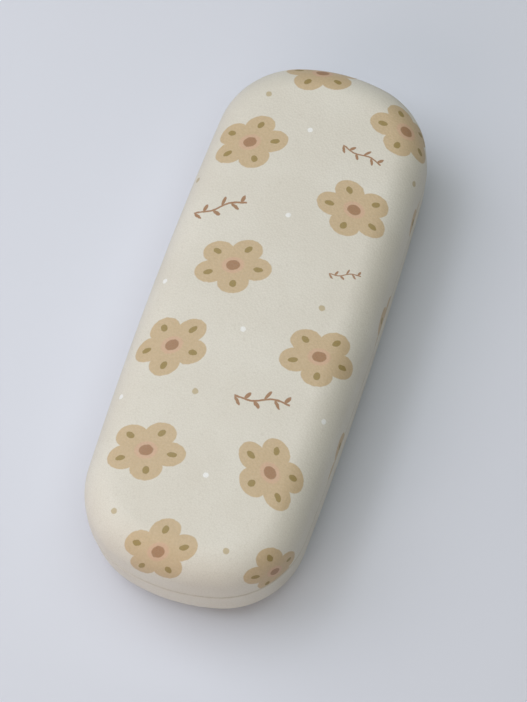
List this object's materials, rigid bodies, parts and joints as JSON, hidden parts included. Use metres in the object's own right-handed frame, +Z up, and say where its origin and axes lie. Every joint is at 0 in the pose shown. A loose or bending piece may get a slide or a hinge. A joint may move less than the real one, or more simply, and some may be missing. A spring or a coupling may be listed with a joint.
{
  "type": "eyeglasses case",
  "caption": "Hard clamshell eyeglasses case with rounded ends, printed leatherette over pressed steel halves, velour lined, with a snap hinge along the back.",
  "frame": {"origin": "centre of the flat face the case rests on", "axes": "+X along the case's length, +Z up through the lid, hinge along the +Y side and the opening side at -Y"},
  "size_m": [0.16, 0.0639, 0.038],
  "materials": {
    "leatherette": "matt cream PU leatherette with a fine pebble grain and a scattered tan print",
    "tinplate": "bare pressed tinplate",
    "foam": "thin white closed-cell foam",
    "velour": "short-pile velour, warm tan",
    "greyboard": "plain greyboard",
    "spring_steel": "satin strip steel",
    "rivet_steel": "bright zinc-plated steel"
  },
  "bodies": {
    "base": {"base_cover": "leatherette", "base_shell": "tinplate", "base_foam": "foam", "base_lining": "velour", "base_floor_board": "greyboard", "base_floor_pad": "velour", "base_hinge_leaf": "spring_steel", "base_hinge_rivets": "rivet_steel", "hinge_pin": "rivet_steel", "snap_spring_left": "spring_steel", "snap_spring_right": "spring_steel", "hinge_cover_strip": "leatherette", "hinge_gusset": "velour"},
    "lid": {"lid_cover": "leatherette", "lid_shell": "tinplate", "lid_foam": "foam", "lid_lining": "velour", "lid_ceiling_board": "greyboard", "lid_ceiling_pad": "velour", "lid_hinge_leaf": "spring_steel", "lid_hinge_rivets": "rivet_steel"}
  },
  "joints": [
    {"name": "lid_hinge", "type": "hinge", "parent": "base", "child": "lid", "pos_m": [0, 0.0301, 0.0204], "axis": [-1, 0, 0], "range_deg": [0, 105], "deforming": ["snap_spring_left", "snap_spring_right", "hinge_cover_strip", "hinge_gusset"]}
  ]
}
